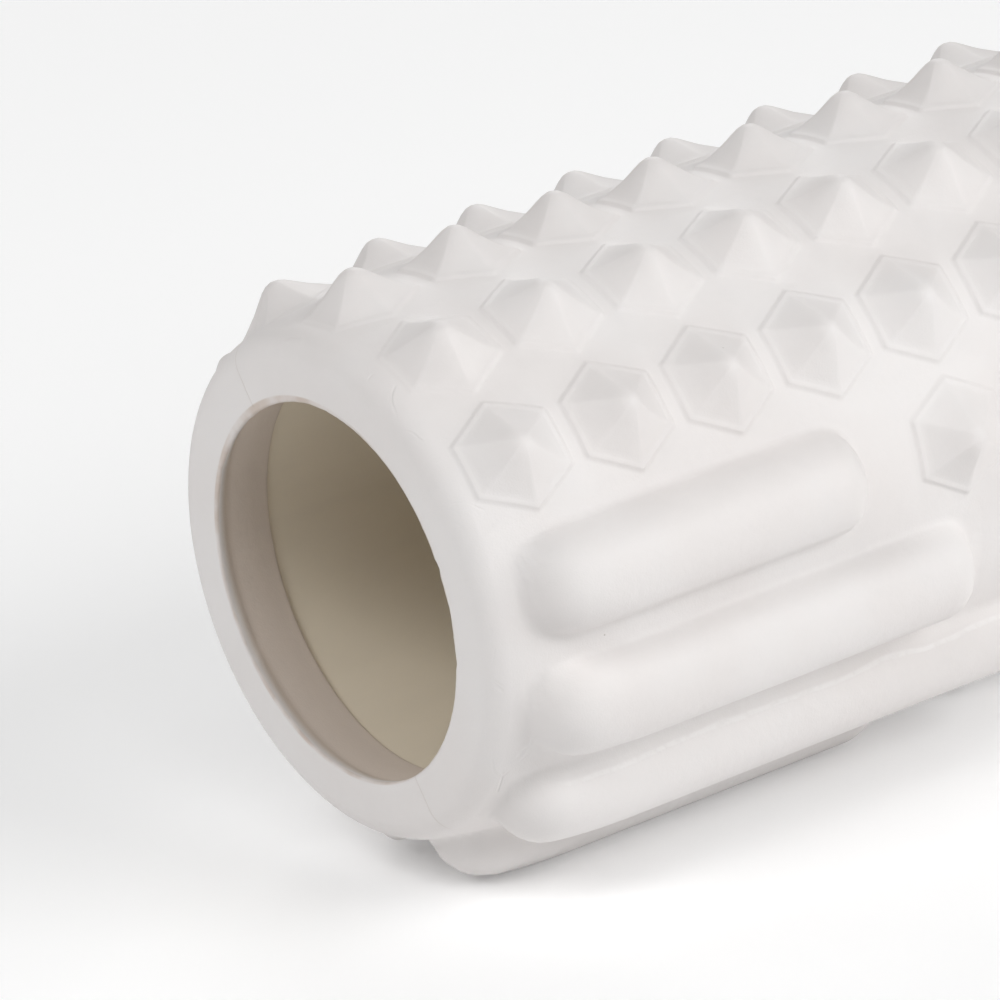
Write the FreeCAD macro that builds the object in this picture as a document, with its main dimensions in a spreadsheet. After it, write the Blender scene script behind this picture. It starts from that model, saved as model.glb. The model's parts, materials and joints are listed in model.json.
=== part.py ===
import FreeCAD, Part
import math
import os
import Sketcher
from FreeCAD import Placement, Rotation, Vector

# Hollow foam roller. The roller's axis is X, +Z is up and the origin is the middle of the axis.
# A moulded foam sleeve wraps inward over both ends of a plain plastic core tube. Its surface is
# a grid of 13 rows round the axis and 12 columns along it. Nine neighbouring rows carry
# six-sided pyramid lugs. The other four carry long rounded ridges, like the fingers of a hand:
# each row has one ridge from each end, and lugs in the columns that its ridges leave free.

DIMENSIONS = {
    # the drum: the sleeve without its lugs and ridges
    "roller_length": 330,
    "end_face": "=roller_length / 2",
    "drum_radius": 61,
    "face_outer_radius": 51,
    "edge_depth": 5,
    "edge_outer_radius": 57.3,
    "swell_depth": 18,
    "swell_radius": 59.8,
    "rim_depth": 36,
    # the grid of lugs and ridges
    "row_count": 13,
    "row_angle": "=360 / row_count",
    "column_count": 12,
    "column_pitch": 26.8,
    "first_column": "=-(column_count - 1) * column_pitch / 2",
    "lug_row_count": 9,
    # the pyramid lugs
    "lug_corner_radius": 13.3,
    "lug_root_radius": 55,
    "lug_edge_radius": 60.6,
    "lug_tip_radius": 69,
    "lug_tip_corner": 1.8,
    # the ridges: how far each starts from the end face, and how many columns it takes
    "ridge_half_width": 11.6,
    "ridge_crest_radius": 70.8,
    "ridge_seat_radius": "=ridge_crest_radius - ridge_half_width",
    "short_ridge_start": 9,
    "short_ridge_columns": 4,
    "middle_ridge_start": 8,
    "middle_ridge_columns": 5,
    "long_ridge_start": 7.5,
    "long_ridge_columns": 6,
    # the mouth, and the flange that laps over the tube's end
    "mouth_radius": 42.9,
    "mouth_land": 3,
    "flange_radius": 45.6,
    "flange_depth": 16,
    # the core tube
    "tube_outer_radius": 50,
    "tube_wall": 3,
    "tube_length": "=roller_length - 2 * flange_depth",
}

# Rows are counted round the axis from the first row of lugs, which is drawn on top. These are
# the rows with ridges. The roller stands on the last of them and on the row of lugs next to it.
RIDGE_ROWS = {"short": (9,), "middle": (10, 12), "long": (11,)}
LAST_RIDGE_ROW = 12

LUG_SIDES = 6
MOST_LEFT_BY_HOLLOW = 0.6

doc = FreeCAD.newDocument("foam_roller")
sheet = doc.addObject("Spreadsheet::Sheet", "dims")
for line, (alias, value) in enumerate(DIMENSIONS.items(), start=1):
    sheet.set(f"A{line}", alias)
    sheet.set(f"B{line}", str(value))
    sheet.setAlias(f"B{line}", alias)
doc.recompute()


def measure(formula):
    return float(sheet.evalExpression(formula))


def new_body(label):
    body = doc.addObject("PartDesign::Body", label)
    body.Label = label
    return body


def datum(body, role):
    return next(item for item in body.Origin.OriginFeatures if item.Role == role)


def new_sketch(body, name, plane, row=0, height="0"):
    """A sketch on one of the body's planes, turned to a row and lifted off the axis."""
    sketch = body.newObject("Sketcher::SketchObject", name)
    sketch.AttachmentSupport = [(datum(body, plane), "")]
    sketch.MapMode = "FlatFace"
    turn = f"dims.row_angle * {row}"
    sketch.AttachmentOffset = Placement(Vector(), Rotation(Vector(1, 0, 0), measure(turn)))
    if row:
        sketch.setExpression(".AttachmentOffset.Rotation.Angle", turn)
    sketch.setExpression(".AttachmentOffset.Base.y", f"-{height} * sin({turn})")
    sketch.setExpression(".AttachmentOffset.Base.z", f"{height} * cos({turn})")
    return sketch


def new_feature(body, kind, name, **properties):
    feature = body.newObject(f"PartDesign::{kind}", name)
    feature.Refine = False
    for key, setting in properties.items():
        setattr(feature, key, setting)
    return feature


def dimension(sketch, name, kind, place, formula):
    """Add a driving dimension and bind it to the sheet."""
    index = sketch.addConstraint(Sketcher.Constraint(kind, *place, measure(formula)))
    sketch.renameConstraint(index, name)
    sketch.setExpression(f"Constraints.{name}", formula)


def pin_point(sketch, name, edge, end, x_formula, y_formula):
    dimension(sketch, f"{name}_x", "DistanceX", (edge, end), x_formula)
    dimension(sketch, f"{name}_y", "DistanceY", (edge, end), y_formula)


def outline(sketch, corners):
    """Draw a closed outline of straight lines. A corner is its name and its two formulas."""
    points = [Vector(measure(x), measure(y), 0) for _, x, y in corners]
    lines = [Part.LineSegment(a, b) for a, b in zip(points, points[1:] + points[:1])]
    edges = sketch.addGeometry(lines)
    for edge, following in zip(edges, edges[1:] + edges[:1]):
        sketch.addConstraint(Sketcher.Constraint("Coincident", edge, 2, following, 1))
    for edge, (name, x, y) in zip(edges, corners):
        pin_point(sketch, name, edge, 1, x, y)


def both_ends(corners):
    """Half an outline, up to the middle of the roller, followed by its mirror image."""
    mirrored = [(f"far_{name}", f"-({x})", y) for name, x, y in reversed(corners)]
    return corners + mirrored


def repeat(body, name, feature, columns="1", rows="1", row_step="1", mirror=False):
    """Copy a feature along the axis or to the roller's other end, and then round the axis."""
    axis = (datum(body, "X_Axis"), [""])
    if mirror:
        middle = (datum(body, "YZ_Plane"), [""])
        along = new_feature(body, "Mirrored", f"{name}_mirrored", MirrorPlane=middle)
    else:
        along = new_feature(body, "LinearPattern", f"{name}_along", Direction=axis)
        along.Mode = "Spacing"
        along.setExpression("Offset", "dims.column_pitch")
        along.setExpression("Occurrences", columns)
    steps = [along]
    if rows != "1":
        around = new_feature(body, "PolarPattern", f"{name}_around", Axis=axis, Mode="Spacing")
        around.setExpression("Offset", f"dims.row_angle * {row_step}")
        around.setExpression("Occurrences", rows)
        steps.append(around)
    pattern = new_feature(body, "MultiTransform", name, Originals=[feature])
    pattern.Transformations = steps
    body.Tip = pattern


# --- the foam sleeve -------------------------------------------------------------------------

def drum(body):
    """A solid drum whose shoulders are three cones each. The hollow is cut through it later."""
    sketch = new_sketch(body, "drum_outline", "XZ_Plane")
    outline(sketch, both_ends([
        ("axis", "-dims.end_face", "0"),
        ("face", "-dims.end_face", "dims.face_outer_radius"),
        ("edge", "dims.edge_depth - dims.end_face", "dims.edge_outer_radius"),
        ("swell", "dims.swell_depth - dims.end_face", "dims.swell_radius"),
        ("rim", "dims.rim_depth - dims.end_face", "dims.drum_radius"),
    ]))
    axis = (datum(body, "X_Axis"), [""])
    new_feature(body, "Revolution", "drum", Profile=sketch, ReferenceAxis=axis)


def hexagon(sketch, radius):
    """A hexagon on the first column, with two of its sides facing the roller's ends."""
    corners = []
    side_angle = 360 / LUG_SIDES
    for number in range(LUG_SIDES):
        turn = side_angle * number + side_angle / 2
        x = f"dims.first_column + {radius} * cos({turn})"
        corners.append((f"corner{number}", x, f"{radius} * sin({turn})"))
    outline(sketch, corners)


def lug(body, name, column="0", row=0):
    """One pyramid lug: a hexagonal foot that rises out of the drum, then six sides to a tip."""
    levels = {
        "root": ("dims.lug_root_radius", "dims.lug_corner_radius"),
        "edge": ("dims.lug_edge_radius", "dims.lug_corner_radius"),
        "tip": ("dims.lug_tip_radius", "dims.lug_tip_corner"),
    }
    sections = []
    for level, (height, radius) in levels.items():
        sketch = new_sketch(body, f"{name}_{level}", "XY_Plane", row, height)
        hexagon(sketch, radius)
        sketch.setExpression(".AttachmentOffset.Base.x", f"dims.column_pitch * {column}")
        sections.append(sketch)
    loft = new_feature(body, "AdditiveLoft", name, Profile=sections[0], Ruled=True)
    loft.Sections = sections[1:]
    return loft


def ridge(body, name, row, start, end):
    """One ridge: a round bar with round ends, lying along the axis and half sunk in the drum."""
    sketch = new_sketch(body, f"{name}_outline", "XZ_Plane", row)
    bend, seat = measure("dims.ridge_half_width"), measure("dims.ridge_seat_radius")
    first, last = Vector(measure(start), seat, 0), Vector(measure(end), seat, 0)
    near, far = first + Vector(bend, 0, 0), last - Vector(bend, 0, 0)
    rise = Vector(0, bend, 0)
    normal = Vector(0, 0, 1)
    floor, far_arc, crest, near_arc = sketch.addGeometry([
        Part.LineSegment(first, last),
        Part.ArcOfCircle(Part.Circle(far, normal, bend), 0, math.pi / 2),
        Part.LineSegment(far + rise, near + rise),
        Part.ArcOfCircle(Part.Circle(near, normal, bend), math.pi / 2, math.pi),
    ])
    pin_point(sketch, "start", floor, 1, start, "dims.ridge_seat_radius")
    pin_point(sketch, "end", floor, 2, end, "dims.ridge_seat_radius")
    sketch.addConstraint(Sketcher.Constraint("Coincident", floor, 2, far_arc, 1))
    sketch.addConstraint(Sketcher.Constraint("Tangent", far_arc, 2, crest, 1))
    sketch.addConstraint(Sketcher.Constraint("Tangent", crest, 2, near_arc, 1))
    sketch.addConstraint(Sketcher.Constraint("Coincident", near_arc, 2, floor, 1))
    for arc, arc_name in ((far_arc, "far_bend"), (near_arc, "near_bend")):
        sketch.addConstraint(Sketcher.Constraint("PointOnObject", arc, 3, floor))
        dimension(sketch, arc_name, "Radius", (arc,), "dims.ridge_half_width")
    spine = sketch.addGeometry(Part.LineSegment(first, last), True)
    sketch.addConstraint(Sketcher.Constraint("Coincident", spine, 1, floor, 1))
    sketch.addConstraint(Sketcher.Constraint("Coincident", spine, 2, floor, 2))
    return new_feature(
        body, "Revolution", name, Profile=sketch, ReferenceAxis=(sketch, ["Axis0"])
    )


def ridge_end(columns):
    """A ridge's round end is centred half a pitch short of the last column that it takes."""
    last_column = f"dims.first_column + dims.column_pitch * ({columns} - 1)"
    return f"{last_column} - dims.column_pitch / 2 + dims.ridge_half_width"


def hollow(body):
    """Cut the mouths, the flanges' tapered bores and the seat of the core tube."""
    sketch = new_sketch(body, "hollow_outline", "XZ_Plane")
    outline(sketch, both_ends([
        ("axis", "-dims.end_face", "0"),
        ("mouth", "-dims.end_face", "dims.mouth_radius"),
        ("land", "dims.mouth_land - dims.end_face", "dims.mouth_radius"),
        ("lip", "dims.flange_depth - dims.end_face", "dims.flange_radius"),
        ("seat", "dims.flange_depth - dims.end_face", "dims.tube_outer_radius"),
    ]))
    doc.recompute()
    before = body.Shape.Volume
    axis = (datum(body, "X_Axis"), [""])
    new_feature(body, "Groove", "hollow", Profile=sketch, ReferenceAxis=axis)
    doc.recompute()
    if body.Shape.Volume > MOST_LEFT_BY_HOLLOW * before:
        raise RuntimeError("the hollow cut nothing")


def foam_sleeve():
    body = new_body("foam_sleeve")
    drum(body)
    for name, rows in RIDGE_ROWS.items():
        start = f"dims.{name}_ridge_start - dims.end_face"
        end = ridge_end(f"dims.{name}_ridge_columns")
        bar = ridge(body, f"{name}_ridge", rows[0], start, end)
        repeat(body, f"{name}_ridges", bar, rows=str(len(rows)), row_step="2", mirror=True)
    hollow(body)

    for name, rows in RIDGE_ROWS.items():
        taken = f"dims.{name}_ridge_columns"
        free = f"dims.column_count - 2 * {taken}"
        if measure(free) > 0:
            filler = lug(body, f"{name}_lug", taken, rows[0])
            repeat(body, f"{name}_lugs", filler, free, str(len(rows)), "2")
    repeat(body, "lugs", lug(body, "lug"), "dims.column_count", "dims.lug_row_count")
    body.Placement = Placement(Vector(), Rotation(Vector(1, 0, 0), 180))
    tip, crest, row_angle = "dims.lug_tip_radius", "dims.ridge_crest_radius", "dims.row_angle"
    lean = f"atan(({crest} / {tip} - cos({row_angle})) / sin({row_angle}))"
    turn = f"180deg - 1deg * {row_angle} * {LAST_RIDGE_ROW} - {lean}"
    body.setExpression("Placement.Rotation.Angle", turn)


# --- the core tube ---------------------------------------------------------------------------

def core_tube():
    body = new_body("core_tube")
    sketch = new_sketch(body, "tube_rings", "YZ_Plane")
    rings = {
        "outer": "dims.tube_outer_radius",
        "inner": "dims.tube_outer_radius - dims.tube_wall",
    }
    for name, radius in rings.items():
        circle = Part.Circle(Vector(), Vector(0, 0, 1), measure(radius))
        ring = sketch.addGeometry(circle)
        sketch.addConstraint(Sketcher.Constraint("Coincident", ring, 3, -1, 1))
        dimension(sketch, name, "Radius", (ring,), radius)
    tube = new_feature(body, "Pad", "tube", Profile=sketch, SideType="Symmetric")
    tube.setExpression("Length", "dims.tube_length")


foam_sleeve()
core_tube()
doc.recompute()

failed = [item.Name for item in doc.Objects if {"Invalid", "Error"} & set(item.State)]
if failed:
    raise RuntimeError(f"these objects failed: {failed}")
os.makedirs("parts", exist_ok=True)
for body in doc.findObjects("PartDesign::Body"):
    if body.Shape.isNull() or not body.Shape.isValid():
        raise RuntimeError(f"{body.Label} has no valid shape")
    body.Shape.exportStep(f"parts/{body.Label}.step")
    print(body.Label, len(body.Shape.Solids), "solid,", round(body.Shape.Volume / 1000), "cm3")
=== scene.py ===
"""Looks for the foam roller: a moulded foam sleeve over a plastic tube, on a pale studio floor."""

import json
import math

import bpy
import numpy as np
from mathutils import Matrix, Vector


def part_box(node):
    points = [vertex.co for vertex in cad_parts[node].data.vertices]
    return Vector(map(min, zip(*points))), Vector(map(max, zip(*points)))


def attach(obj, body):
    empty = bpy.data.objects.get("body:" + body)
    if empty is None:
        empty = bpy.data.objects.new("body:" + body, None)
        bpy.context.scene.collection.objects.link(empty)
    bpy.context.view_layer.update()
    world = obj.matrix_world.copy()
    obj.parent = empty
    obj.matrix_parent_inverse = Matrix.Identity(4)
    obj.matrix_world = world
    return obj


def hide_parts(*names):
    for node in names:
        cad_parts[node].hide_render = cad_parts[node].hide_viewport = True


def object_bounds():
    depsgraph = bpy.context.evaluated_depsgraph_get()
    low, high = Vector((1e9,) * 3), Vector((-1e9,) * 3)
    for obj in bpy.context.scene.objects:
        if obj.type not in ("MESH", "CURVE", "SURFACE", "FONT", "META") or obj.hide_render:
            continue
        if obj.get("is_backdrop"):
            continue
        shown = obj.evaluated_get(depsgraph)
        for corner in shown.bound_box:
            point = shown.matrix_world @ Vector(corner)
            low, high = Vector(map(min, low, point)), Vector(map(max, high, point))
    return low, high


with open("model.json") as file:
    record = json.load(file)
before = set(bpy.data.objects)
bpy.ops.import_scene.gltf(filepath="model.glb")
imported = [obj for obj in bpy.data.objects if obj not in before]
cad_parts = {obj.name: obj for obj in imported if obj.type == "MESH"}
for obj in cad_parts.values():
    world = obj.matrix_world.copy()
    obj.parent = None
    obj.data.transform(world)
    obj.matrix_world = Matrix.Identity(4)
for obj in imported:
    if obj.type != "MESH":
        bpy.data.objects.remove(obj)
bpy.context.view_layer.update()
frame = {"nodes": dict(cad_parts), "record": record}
mounts = {mount["name"]: mount for mount in frame["record"]["mounts"]}
bore = mounts["core_bore"]["dims"]
tube_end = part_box("core_tube")[1].x

SEED = 11
MM = 0.001

# Sleeve layout, in millimetres from the near end along +X and in degrees round from +Z towards -Y.
LENGTH = bore["length_mm"]
DRUM = 61.0
ROWS = 13
STEP = 360.0 / ROWS
PITCH = 26.8
COLUMNS = 12
GRID_START = 4.2
LAST_RIDGE_ANGLE = 163.1635
FIRST_ANGLE = LAST_RIDGE_ANGLE - (ROWS - 1) * STEP

# Shoulder: a parabolic barrel that ends in a round edge.
BARREL_LENGTH = 36.9
BARREL_DROP = 5.06
EDGE_RADIUS = 6.4

# Mouth, flange and tube seat.
MOUTH = bore["r_mm"]
FLANGE = 45.6
FLANGE_DEPTH = LENGTH / 2 - tube_end / MM
SEAT = 50.0
CLEARANCE = 0.04

# Angles of the mould's parting line and of a line of flash.
PARTING_ANGLE = 149.3
FLASH_ANGLE = 125.8

# Mesh lines: each cell has ALONG steps in x and ACROSS steps round the drum.
ALONG = 10
ACROSS = 17
RING = 2 * (ALONG + ACROSS)
HEX_STEP = RING // 6

# Hexagonal lugs: where the points of a ring fall along a side of the hexagon, and each ring's share
# of the apothem and its height.
APOTHEM = 11.5
SIDE_SPREAD = (0.0, 0.07, 0.18, 0.31, 0.44, 0.56, 0.69, 0.82, 0.93)
LUG_RINGS = (
    (1.070, 0.00),
    (1.015, 0.15),
    (0.985, 0.55),
    (0.950, 0.78),
    (0.905, 0.86),
    (0.860, 1.02),
    (0.780, 1.58),
    (0.520, 3.72),
    (0.340, 5.55),
    (0.220, 6.76),
    (0.120, 7.50),
)
LUG_TIP = 7.82

# Lug rows next to the ridges, whose end lugs keep a crisp outline.
CRISP_ROWS = (0, 8)

# The lug's plan rounds off from a hexagon at ROUND_FROM of its apothem to a circle at its tip.
ROUND_FROM = 0.86
ROUND_POWER = 0.75
ROUND_SIZE = 1.05

# The part of a lug's foot that sinks into the shoulder at the outer side of an end column.
END_BLEND = 0.75
FOOT_HEIGHT = 0.86

# The trimmed mouth edge: angle, half width in degrees, and how far the edge is cut back. The first
# entry is a long stretch that stands further in, and the others are nicks.
NICKS = (
    (-25, 50, -1.25),
    (-122, 2.2, 0.6),
    (-109, 1.5, 0.35),
    (-64, 2.5, 0.3),
    (70, 1.6, 0.35),
    (83, 1.8, 0.4),
    (98, 1.5, 0.35),
)

# Where the mouth edge is torn instead of cut clean: the middle and half width, in degrees.
TORN_AT = 85
TORN_WIDTH = 24
CLEAN_ROUGHNESS = 0.03
TORN_ROUGHNESS = 0.08

# The way in from the end face to the tube: each ring's distance from the end, its radius, and its
# share of the mouth edge's unevenness.
WAY_IN = (
    (0.0, MOUTH + 1.2, 0.4),
    (0.05, MOUTH + 0.35, 0.9),
    (0.35, MOUTH, 1.0),
    (0.9, MOUTH, 1.0),
    (1.6, MOUTH + 0.15, 0.8),
    (2.4, MOUTH + 0.30, 0.4),
    (3.2, MOUTH + 0.72, 0.2),
    (4.1, MOUTH + 1.00, 0),
    (5.0, MOUTH + 1.10, 0),
    (8.0, MOUTH + 1.35, 0),
    (12.0, MOUTH + 2.05, 0),
    (15.0, FLANGE - 0.1, 0),
    (15.7, FLANGE, 0),
    (FLANGE_DEPTH - 2 * CLEARANCE, FLANGE + 0.12, 0),
    (FLANGE_DEPTH - CLEARANCE, FLANGE + 0.5, 0),
    (FLANGE_DEPTH - CLEARANCE, SEAT + CLEARANCE, 0),
)

# Half-round ridges: the radius of the round, how deep its centre lies, the fillet at its foot, and
# the offsets of the mesh lines from its middle.
RIDGE_RADIUS = 11.6
RIDGE_SINK = 1.8
RIDGE_FILLET = 2.4
RIDGE_SPREAD = (1.8, 5.2, 8.0, 9.9, 11.0, 11.6, 12.3, 13.3)

# Ridge rows: where each row's ridge starts and stops, in millimetres from the sleeve's end, and the
# length and squareness of its rounded ends.
RIDGES = {9: (8.9, 96.6), 10: (8.0, 124.4), 11: (7.7, 149.8), 12: (7.7, 123.0)}
NOSE_LENGTH = 11.8
TAIL_LENGTH = 8.4
CAP_POWER = 2.15

# Spacing of the x lines inside a column: closer where a ridge starts or stops.
EVEN = tuple(k / ALONG for k in range(ALONG + 1))
FIRST_COLUMN = (0.0, 0.11, 0.155, 0.20, 0.25, 0.31, 0.38, 0.46, 0.56, 0.75, 1.0)
STOP_COLUMN = (0.0, 0.11, 0.19, 0.26, 0.32, 0.37, 0.42, 0.465, 0.52, 0.68, 1.0)
SPACING = (FIRST_COLUMN, EVEN, EVEN, STOP_COLUMN, STOP_COLUMN, STOP_COLUMN)
SPACING_BLEND = 3.8

# Rings of the end: how many go round the edge, how they close up, and how far in from the edge the
# rings of the flat face lie.
EDGE_RINGS = 9
EDGE_CLOSING = 1.7
FACE_RINGS = (2.0, 5.0)

# Foam zones, in metres. Each pair is where a zone starts and where it is full, as a radius, as a
# depth from the end or, for a WIDTH, as a distance from the line. SWAY is how far the lines wander.
# The first two zones mark painted shade: the band of the bore past the mouth is coloured darker and
# browner.
BORE_SHADE_RADIUS = (0.0474, 0.0468)
BORE_SHADE_DEPTH = (0.0006, 0.003)
LIP_RADIUS = (0.0436, 0.0431)
LIP_DEPTH = (0.0009, 0.0004)
PARTING_WIDTH = (0.00026, 0.00006)
PARTING_RADIUS = (0.0425, 0.0432)
PARTING_FADE = (0.004, 0.001)
FLASH_WIDTH = (0.0004, 0.0001)
FLASH_START = (0.014, 0.022)
CREASE_START = (0.0005, 0.003)
CREASE_STOP = (0.011, 0.007)
CREASE_INNER = (0.050, 0.053)
CREASE_OUTER = (0.0600, 0.0592)
SWAY = 0.0022

# Rare dark specks: cells per metre, the share of cells without one, and the size in a cell.
SPECK_SCALE = 130
SPECK_FREE = 0.95
SPECK_SIZE = (0.030, 0.018)

# Foam colours.
FOAM = (0.722, 0.692, 0.679, 1)
FOAM_PALE = (0.745, 0.722, 0.712, 1)
FOAM_MOTTLE = (0.765, 0.735, 0.72, 1)
# Darker, browner colour painted inside the mouth as the shade of the bore.
FOAM_BORE_SHADE = (0.66, 0.575, 0.505, 1)
FOAM_CUT = (0.52, 0.42, 0.35, 1)
FOAM_SPECK = (0.34, 0.29, 0.25, 1)
FOAM_PARTING = (0.42, 0.33, 0.27, 1)
FOAM_FLASH = (0.86, 0.85, 0.84, 1)

# Tube colours.
TUBE = (0.74, 0.668, 0.545, 1)
TUBE_PALE = (0.76, 0.686, 0.56, 1)
TUBE_CLOUD = (0.77, 0.70, 0.58, 1)

# Floor and background.
FLOOR_REACH = 14.0
FLOOR_WHITE = (0.93, 0.93, 0.93, 1)
FLOOR_GLOW = 0.11
WHITE = (1.0, 1.0, 1.0, 1)
WORLD_STRENGTH = 0.03

# Square lamps, all aimed at the middle of the roller: position in metres, power in watts.
LAMP_SIZE = 1.2
LAMPS = {
    "right": ((2.0, -1.5, 0.8), 20.0),
    "side": ((0.8, -2.2, 1.4), 30.0),
    "low_side": ((0.9, -2.4, 0.15), 4.0),
    "front": ((-0.9, -1.3, 2.1), 11.5),
    "end": ((-1.8, -0.3, 1.9), 26.0),
    "left": ((-2.0, 1.3, 0.8), 3.0),
    "back": ((1.4, 2.0, 1.2), 19.0),
    "back_left": ((-1.2, 2.1, 1.0), 8.0),
    "top_back": ((0.5, 0.9, 2.4), 5.0),
}

# Camera: position in metres, turn in degrees, lens in millimetres.
CAMERA_AT = (-1.1126, -1.44446, 0.64814)
CAMERA_TURN = (69.7505, 6.3998, -36.8714)
CAMERA_LENS = 312.5
CAMERA_SHIFT = (-0.0013, 0.0018)


def barrel(s):
    """Radius of the barrelled shoulder at s from an end."""
    return DRUM - BARREL_DROP * max(1 - s / BARREL_LENGTH, 0) ** 2


def barrel_slope(s):
    """Slope of the barrelled shoulder at s from an end."""
    return 2 * BARREL_DROP * max(1 - s / BARREL_LENGTH, 0) / BARREL_LENGTH


def profile(s):
    """Radius of the sleeve's plain outer surface at s from an end, and the outward normal there."""
    s = min(s, LENGTH - s)
    lean = math.atan(barrel_slope(EDGE_RADIUS))
    join = EDGE_RADIUS * (1 - math.sin(lean))
    centre = barrel(join) - EDGE_RADIUS * math.cos(lean)
    if s < join:
        run = EDGE_RADIUS - s
        rise = math.sqrt(max(EDGE_RADIUS**2 - run**2, 0.0))
        return centre + rise, (-run / EDGE_RADIUS, rise / EDGE_RADIUS)
    tilt = math.atan(barrel_slope(s))
    return barrel(s), (-math.sin(tilt), math.cos(tilt))


def place(s, angle, height):
    """World point, in metres, at s along the sleeve, at an angle and a height above its surface."""
    radius, (nx, nr) = profile(s)
    if s > LENGTH / 2:
        nx = -nx
    r = radius + height * nr
    x = s + height * nx - LENGTH / 2
    a = math.radians(angle)
    return (x * MM, -r * math.sin(a) * MM, r * math.cos(a) * MM)


def ridge_section(d):
    """Height of a ridge at distance d from its centre line."""
    reach = RIDGE_RADIUS + RIDGE_FILLET
    foot = math.sqrt(reach**2 - (RIDGE_FILLET + RIDGE_SINK) ** 2)
    turn = foot * RIDGE_RADIUS / reach
    if d < turn:
        return math.sqrt(RIDGE_RADIUS**2 - d**2) - RIDGE_SINK
    if d < foot:
        return RIDGE_FILLET - math.sqrt(max(RIDGE_FILLET**2 - (foot - d) ** 2, 0.0))
    return 0.0


def ridge_columns(row):
    """Columns that the ridge in a row takes from each end."""
    return math.ceil((RIDGES[row][1] - GRID_START) / PITCH) if row in RIDGES else 0


def ridge_height(row, s, offset):
    """Height of the ridge in a row at s and at offset millimetres from its centre line."""
    s = min(s, LENGTH - s)
    start, stop = RIDGES[row]
    nose = (start + NOSE_LENGTH - s) / NOSE_LENGTH
    tail = (s - stop + TAIL_LENGTH) / TAIL_LENGTH
    along = RIDGE_RADIUS * max(nose, tail, 0.0)
    return ridge_section((along**CAP_POWER + abs(offset) ** CAP_POWER) ** (1 / CAP_POWER))


def angle_lines():
    """Angle and row of every mesh line round the sleeve."""
    lines = []
    for row in range(ROWS):
        middle = FIRST_ANGLE + row * STEP
        half = STEP / 2
        if row in RIDGES:
            spread = [math.degrees(v / DRUM) for v in RIDGE_SPREAD]
            steps = [-half] + [-v for v in reversed(spread)] + spread
        else:
            steps = [half * (2 * m / ACROSS - 1) for m in range(ACROSS)]
        lines += [(middle + t, row) for t in steps]
    return lines


LINES = angle_lines()


def surface_height(s, line):
    """Height of the ridge, if there is one, at s and on an angle line."""
    angle, row = LINES[line]
    if row not in RIDGES:
        return 0.0
    offset = math.radians(angle - (FIRST_ANGLE + row * STEP)) * DRUM
    return ridge_height(row, s, offset)


def line_place(i, line):
    """Distance of x line i from the near end: even, except over the middle of a ridge row."""
    if i > COLUMNS * ALONG // 2:
        return LENGTH - line_place(COLUMNS * ALONG - i, line)
    column, part = divmod(i, ALONG)
    share = part / ALONG
    angle, row = LINES[line]
    if row in RIDGES and part:
        edge = (STEP / 2 - abs(angle - FIRST_ANGLE - row * STEP)) * math.radians(DRUM)
        share += (SPACING[column][part] - share) * min(1.0, edge / SPACING_BLEND)
    return GRID_START + PITCH * (column + share)


class Mesh:
    """Vertices and faces of one closed mesh."""

    def __init__(self):
        self.verts = []
        self.faces = []
        self.grid = {}

    def add(self, point):
        self.verts.append(point)
        return len(self.verts) - 1

    def line_vertex(self, i, j):
        """The shared vertex where x line i crosses angle line j."""
        j %= len(LINES)
        if (i, j) not in self.grid:
            s = line_place(i, j)
            self.grid[i, j] = self.add(place(s, LINES[j][0], surface_height(s, j)))
        return self.grid[i, j]

    def join(self, a, b):
        """Quads between two closed rings of the same length."""
        n = len(a)
        for k in range(n):
            m = (k + 1) % n
            self.faces.append((a[k], a[m], b[m], b[k]))


def hexagon(index, size):
    """Point (x, round) of a lug's ring at an index, for a hexagon of that apothem."""
    corner, part = divmod(index, HEX_STEP)
    t = SIDE_SPREAD[part]
    a0 = math.radians(60 * corner)
    a1 = math.radians(60 * (corner + 1))
    out = size / math.cos(math.radians(30))
    x = out * ((1 - t) * math.sin(a0) + t * math.sin(a1))
    y = out * ((1 - t) * math.cos(a0) + t * math.cos(a1))
    return x, y


def lug_height(height, column, row, x):
    """Height of a lug's ring point. The end columns blend into the shoulder on their outer side."""
    if column not in (0, COLUMNS - 1) or row in CRISP_ROWS:
        return height
    outer = x if column else -x
    blend = max(0.0, min(1.0, 0.5 + outer / (2 * APOTHEM))) ** 1.5
    return height - END_BLEND * blend * min(height, FOOT_HEIGHT)


def lug_cell(mesh, column, row):
    """One cell of the sleeve's grid with a lug: rings from the cell's border up to the tip."""
    i0, j0 = column * ALONG, row * ACROSS
    i1, j1 = i0 + ALONG, j0 + ACROSS
    half = ALONG // 2
    path = [(i0 + half + k, j1) for k in range(half)]
    path += [(i1, j1 - k) for k in range(ACROSS)]
    path += [(i1 - k, j0) for k in range(ALONG)]
    path += [(i0, j0 + k) for k in range(ACROSS)]
    path += [(i0 + k, j1) for k in range(half)]
    outer = [mesh.line_vertex(i, j) for i, j in path]
    s_mid = GRID_START + PITCH * (column + 0.5)
    middle = FIRST_ANGLE + row * STEP
    last = outer
    for scale, height in LUG_RINGS:
        ring = []
        roundness = max(0.0, 1 - scale / ROUND_FROM) ** ROUND_POWER
        wanted = APOTHEM * scale * ROUND_SIZE
        for k in range(RING):
            x, y = hexagon(k, APOTHEM * scale)
            f = 1 + roundness * (wanted / math.hypot(x, y) - 1)
            x, y = x * f, y * f
            lift = lug_height(height, column, row, x)
            ring.append(mesh.add(place(s_mid + x, middle + math.degrees(y / DRUM), lift)))
        mesh.join(last, ring)
        last = ring
    tip = mesh.add(place(s_mid, middle, lug_height(LUG_TIP, column, row, 0.0)))
    for k in range(RING):
        mesh.faces.append((last[k], last[(k + 1) % RING], tip))


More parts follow.
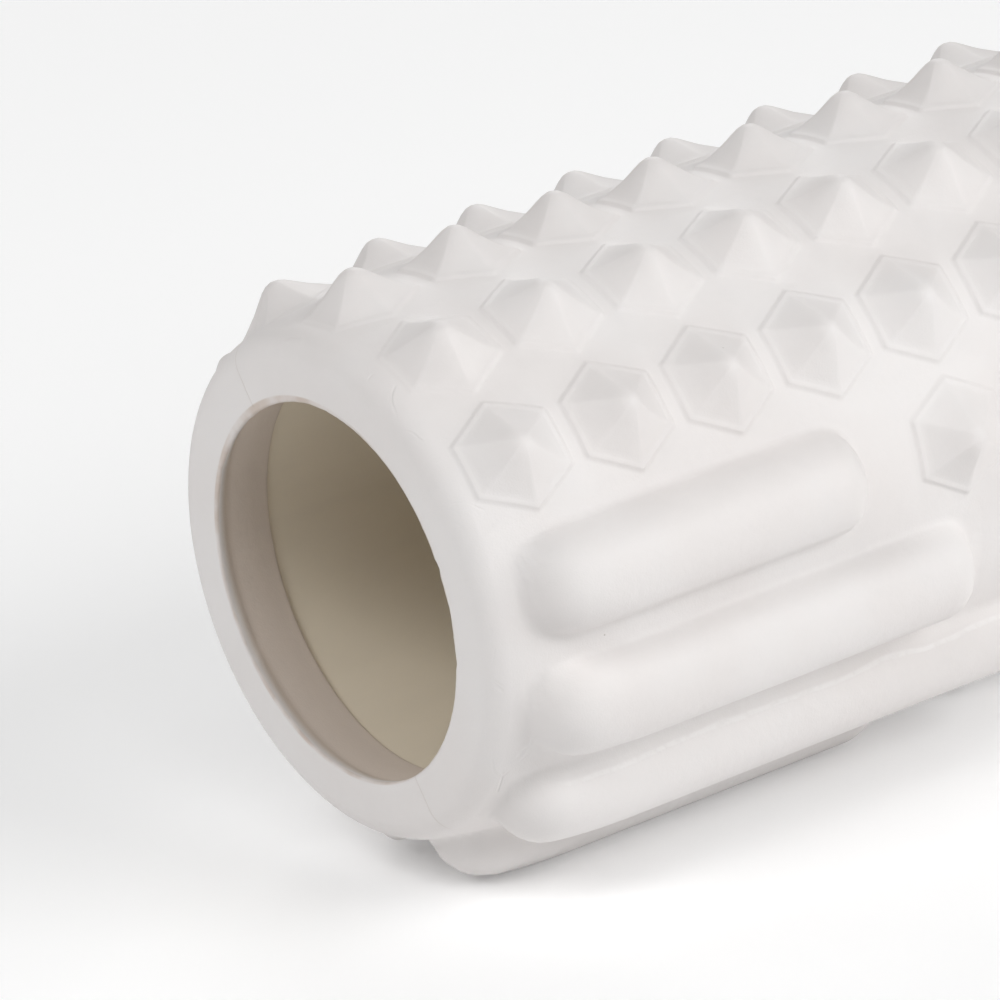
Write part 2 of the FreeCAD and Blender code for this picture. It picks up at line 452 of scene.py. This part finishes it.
def ridge_cell(mesh, column, row):
    """One cell of the sleeve's grid under a ridge: the grid's own vertices carry its shape."""
    for i in range(column * ALONG, (column + 1) * ALONG):
        for j in range(row * ACROSS, (row + 1) * ACROSS):
            mesh.faces.append(
                (
                    mesh.line_vertex(i, j),
                    mesh.line_vertex(i, j + 1),
                    mesh.line_vertex(i + 1, j + 1),
                    mesh.line_vertex(i + 1, j),
                )
            )


def mouth_wander(rng):
    """Radius change of the trimmed mouth edge at each angle line: slow waves, jags and nicks."""
    degrees = np.array([a for a, _ in LINES])
    angles = np.radians(degrees)
    torn = np.exp(-((((degrees - TORN_AT + 180) % 360 - 180) / TORN_WIDTH) ** 2))
    fine = rng.normal(0, 1, len(angles)) * (CLEAN_ROUGHNESS + TORN_ROUGHNESS * torn)
    change = 0.10 * np.sin(3 * angles + 0.7) + 0.07 * np.sin(7 * angles + 2.1) + fine
    for at, width, depth in NICKS:
        gap = (degrees - at + 180) % 360 - 180
        change += depth * np.exp(-((gap / width) ** 2))
    return change


def end_rings(mesh, near, rng):
    """Rings from the first x line over the edge, the end face and the flange to the tube's seat."""
    i = 0 if near else COLUMNS * ALONG
    count = len(LINES)

    def side(s):
        return s if near else LENGTH - s

    rings = [[mesh.line_vertex(i, j) for j in range(count)]]
    for k in range(1, EDGE_RINGS + 1):
        s = GRID_START * (1 - k / EDGE_RINGS) ** EDGE_CLOSING
        points = [place(side(s), LINES[j][0], surface_height(s, j)) for j in range(count)]
        rings.append([mesh.add(point) for point in points])
    flat_edge = profile(0.0)[0]
    wander = mouth_wander(rng)
    face = [(0.0, flat_edge - inset, 0) for inset in FACE_RINGS]
    for s, r, share in face + list(WAY_IN):
        ring = []
        for j in range(count):
            a = math.radians(LINES[j][0])
            radius = r + share * wander[j]
            x = side(s) - LENGTH / 2
            ring.append(mesh.add((x * MM, -radius * math.sin(a) * MM, radius * math.cos(a) * MM)))
        rings.append(ring)
    for a, b in zip(rings, rings[1:]):
        if near:
            mesh.join(b, a)
        else:
            mesh.join(a, b)
    return rings[-1]


def build_sleeve():
    """The sleeve's whole skin as one object."""
    rng = np.random.default_rng(SEED)
    mesh = Mesh()
    for row in range(ROWS):
        for column in range(COLUMNS):
            from_end = min(column, COLUMNS - 1 - column)
            if from_end < ridge_columns(row):
                ridge_cell(mesh, column, row)
            else:
                lug_cell(mesh, column, row)
    near = end_rings(mesh, True, rng)
    far = end_rings(mesh, False, rng)
    mesh.join(far, near)
    data = bpy.data.meshes.new("foam_sleeve_skin")
    data.from_pydata(mesh.verts, [], mesh.faces)
    data.validate()
    data.polygons.foreach_set("use_smooth", [True] * len(data.polygons))
    piece = bpy.data.objects.new("foam_sleeve_skin", data)
    bpy.context.scene.collection.objects.link(piece)
    return piece


class Nodes:
    """Short calls for a material's node tree."""

    def __init__(self, name):
        self.material = bpy.data.materials.new(name)
        self.material.use_nodes = True
        self.tree = self.material.node_tree
        self.shader = self.tree.nodes["Principled BSDF"]

    def node(self, kind, settings=(), inputs=()):
        n = self.tree.nodes.new(kind)
        for key, value in dict(settings).items():
            setattr(n, key, value)
        for key, value in dict(inputs).items():
            self.put(value, n.inputs[key])
        return n

    def put(self, value, socket):
        if isinstance(value, bpy.types.NodeSocket):
            self.tree.links.new(value, socket)
        else:
            socket.default_value = value

    def math(self, operation, a, b=0.0):
        n = self.node("ShaderNodeMath", {"operation": operation})
        self.put(a, n.inputs[0])
        self.put(b, n.inputs[1])
        return n.outputs[0]

    def noise(self, where, scale, detail, output="Fac"):
        inputs = {"Vector": where, "Scale": scale, "Detail": detail}
        return self.node("ShaderNodeTexNoise", inputs=inputs).outputs[output]

    def band(self, value, low, high, to_low=0.0, to_high=1.0):
        n = self.node("ShaderNodeMapRange", {"interpolation_type": "SMOOTHSTEP"})
        for key, v in enumerate((value, low, high, to_low, to_high)):
            self.put(v, n.inputs[key])
        return n.outputs[0]

    def mix(self, factor, a, b, kind="RGBA"):
        n = self.node("ShaderNodeMix", {"data_type": kind})
        self.put(factor, n.inputs["Factor"])
        self.put(a, n.inputs["A"])
        self.put(b, n.inputs["B"])
        return n.outputs["Result"]

    def bump(self, height, distance, strength, normal=None):
        settings = {"Height": height, "Distance": distance, "Strength": strength}
        n = self.node("ShaderNodeBump", inputs=settings)
        if normal is not None:
            self.put(normal, n.inputs["Normal"])
        return n.outputs[0]


def foam_material():
    m = Nodes("moulded_foam")
    at = m.node("ShaderNodeTexCoord").outputs["Object"]
    xyz = m.node("ShaderNodeSeparateXYZ", inputs={"Vector": at}).outputs
    squares = m.math("ADD", m.math("POWER", xyz[1], 2.0), m.math("POWER", xyz[2], 2.0))
    radius = m.math("SQRT", squares)
    from_end = m.math("SUBTRACT", LENGTH / 2 * MM, m.math("ABSOLUTE", xyz[0]))
    cloudy = m.noise(at, 28, 2)
    mottled = m.noise(at, 240, 3)

    # Colour: faint clouds, fine mottling, painted shade that makes the band inside the mouth darker
    # and browner, a browner cut lip, and rare dark specks.
    colour = m.mix(m.band(cloudy, 0.35, 0.65), FOAM, FOAM_PALE)
    colour = m.mix(m.band(mottled, 0.3, 0.7, 0.0, 0.22), colour, FOAM_MOTTLE)
    # Painted shade: the bore past the mouth edge is coloured darker and browner.
    bore_shade = m.math("MULTIPLY", m.band(radius, *BORE_SHADE_RADIUS), m.band(from_end, *BORE_SHADE_DEPTH))
    colour = m.mix(m.math("MULTIPLY", bore_shade, 0.9), colour, FOAM_BORE_SHADE)
    lip = m.math("MULTIPLY", m.band(radius, *LIP_RADIUS), m.band(from_end, *LIP_DEPTH))
    lip = m.math("MULTIPLY", lip, m.band(m.noise(at, 120, 3), 0.35, 0.7, 0.15, 0.7))
    colour = m.mix(lip, colour, FOAM_CUT)
    specks = m.node("ShaderNodeTexVoronoi", inputs={"Vector": at, "Scale": SPECK_SCALE}).outputs
    chance = m.node("ShaderNodeSeparateColor", inputs={"Color": specks["Color"]}).outputs[0]
    dot = m.band(specks["Distance"], *SPECK_SIZE)
    rare = m.math("MULTIPLY", m.math("GREATER_THAN", chance, SPECK_FREE), dot)
    colour = m.mix(m.math("MULTIPLY", rare, 0.6), colour, FOAM_SPECK)

    # The mould's parting line runs lengthwise on both sides, in one plane through the axis.
    a = math.radians(PARTING_ANGLE)
    sideways = m.math("MULTIPLY", xyz[1], -math.cos(a))
    across = m.math("ADD", sideways, m.math("MULTIPLY", xyz[2], -math.sin(a)))
    sway = m.math("MULTIPLY", m.math("SUBTRACT", m.noise(at, 45, 2), 0.5), SWAY)
    parting = m.band(m.math("ABSOLUTE", m.math("ADD", across, sway)), *PARTING_WIDTH)
    parting = m.math("MULTIPLY", parting, m.band(radius, *PARTING_RADIUS))
    on_face = m.math("MULTIPLY", parting, m.band(from_end, *PARTING_FADE, 0.03, 0.18))
    colour = m.mix(on_face, colour, FOAM_PARTING)

    # A rough, paler line of flash along the upper foot of the longest ridge.
    angle = m.math("ARCTAN2", m.math("MULTIPLY", xyz[1], -1.0), xyz[2])
    turn = m.math("MULTIPLY", m.math("SUBTRACT", angle, math.radians(FLASH_ANGLE)), radius)
    flash = m.band(m.math("ABSOLUTE", m.math("ADD", turn, sway)), *FLASH_WIDTH)
    flash = m.math("MULTIPLY", flash, m.band(from_end, *FLASH_START))
    flash = m.math("MULTIPLY", flash, m.band(m.noise(at, 400, 2), 0.3, 0.55, 0.3, 1.0))
    colour = m.mix(m.math("MULTIPLY", flash, 0.35), colour, FOAM_FLASH)
    m.put(colour, m.shader.inputs["Base Color"])

    # Short creases where the sheet of foam turns over the shoulder.
    bent = m.mix(0.012, at, m.noise(at, 60, 2, "Color"), "VECTOR")
    edges = {"feature": "DISTANCE_TO_EDGE"}
    cells = m.node("ShaderNodeTexVoronoi", edges, {"Vector": bent, "Scale": 85.0})
    crease = m.band(cells.outputs["Distance"], 0.045, 0.0)
    crease = m.math("MULTIPLY", crease, m.band(m.noise(at, 75, 2), 0.56, 0.66))
    near_edge = m.math("MULTIPLY", m.band(from_end, *CREASE_START), m.band(from_end, *CREASE_STOP))
    low = m.math("MULTIPLY", m.band(radius, *CREASE_INNER), m.band(radius, *CREASE_OUTER))
    crease = m.math("MULTIPLY", crease, m.math("MULTIPLY", near_edge, low))
    crease = m.math("MULTIPLY", crease, 0.8)

    m.put(m.band(mottled, 0.3, 0.7, 0.50, 0.60), m.shader.inputs["Roughness"])
    m.shader.inputs["Specular IOR Level"].default_value = 0.35
    raised = m.math("ADD", m.math("MULTIPLY", parting, 0.6), m.math("MULTIPLY", flash, 0.5))
    relief = m.math("SUBTRACT", raised, crease)
    normal = m.bump(m.noise(at, 2600, 2), 0.00006, 0.55)
    normal = m.bump(m.noise(at, 420, 3), 0.00012, 0.5, normal)
    m.put(m.bump(relief, 0.00018, 0.8, normal), m.shader.inputs["Normal"])
    return m.material


def tube_material():
    m = Nodes("tube_plastic")
    at = m.node("ShaderNodeTexCoord").outputs["Object"]
    stretched = m.node("ShaderNodeMapping", inputs={"Vector": at, "Scale": (1.0, 9.0, 9.0)})
    streaks = m.noise(stretched.outputs[0], 14, 3)
    cloudy = m.noise(at, 34, 2)
    colour = m.mix(m.band(streaks, 0.35, 0.65), TUBE, TUBE_PALE)
    colour = m.mix(m.band(cloudy, 0.3, 0.7, 0, 0.3), colour, TUBE_CLOUD)
    m.put(colour, m.shader.inputs["Base Color"])
    m.put(m.band(cloudy, 0.3, 0.7, 0.36, 0.44), m.shader.inputs["Roughness"])
    fine = m.bump(m.noise(at, 1800, 2), 0.00003, 0.4)
    m.put(m.bump(streaks, 0.00008, 0.4, fine), m.shader.inputs["Normal"])
    return m.material


def floor_material():
    m = Nodes("floor_white")
    m.shader.inputs["Base Color"].default_value = FLOOR_WHITE
    m.shader.inputs["Emission Color"].default_value = WHITE
    m.shader.inputs["Emission Strength"].default_value = FLOOR_GLOW
    m.shader.inputs["Roughness"].default_value = 0.9
    m.shader.inputs["Specular IOR Level"].default_value = 0.1
    return m.material


def add_floor(height):
    data = bpy.data.meshes.new("floor")
    r = FLOOR_REACH
    corners = [(-r, -r, height), (r, -r, height), (r, r, height), (-r, r, height)]
    data.from_pydata(corners, [], [(0, 1, 2, 3)])
    floor = bpy.data.objects.new("floor", data)
    bpy.context.scene.collection.objects.link(floor)
    data.materials.append(floor_material())
    floor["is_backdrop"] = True


def add_area(name, position, watts):
    light = bpy.data.lights.new(name, "AREA")
    light.shape = "RECTANGLE"
    light.size = light.size_y = LAMP_SIZE
    light.energy = watts
    lamp = bpy.data.objects.new(name, light)
    lamp.location = position
    lamp.rotation_mode = "QUATERNION"
    lamp.rotation_quaternion = (-Vector(position)).to_track_quat("-Z", "Y")
    lamp.visible_camera = False
    bpy.context.scene.collection.objects.link(lamp)


def add_world(strength):
    world = bpy.data.worlds.new("studio")
    world.use_nodes = True
    sky = world.node_tree.nodes["Background"]
    sky.inputs["Color"].default_value = WHITE
    sky.inputs["Strength"].default_value = strength
    bpy.context.scene.world = world


def add_camera():
    data = bpy.data.cameras.new("camera")
    data.sensor_width = 36.0
    data.lens = CAMERA_LENS
    data.shift_x, data.shift_y = CAMERA_SHIFT
    data.clip_start, data.clip_end = 0.1, 50.0
    camera = bpy.data.objects.new("camera", data)
    camera.location = CAMERA_AT
    camera.rotation_euler = [math.radians(a) for a in CAMERA_TURN]
    bpy.context.scene.collection.objects.link(camera)
    bpy.context.scene.camera = camera


sleeve = build_sleeve()
sleeve.data.materials.append(foam_material())
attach(sleeve, "root")
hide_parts("foam_sleeve")

tube = frame["nodes"]["core_tube"]
tube.data.materials.clear()
tube.data.materials.append(tube_material())

add_floor(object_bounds()[0].z)
add_world(WORLD_STRENGTH)
for name, (position, watts) in LAMPS.items():
    add_area(name, position, watts)
add_camera()
bpy.context.scene.view_settings.view_transform = "Standard"
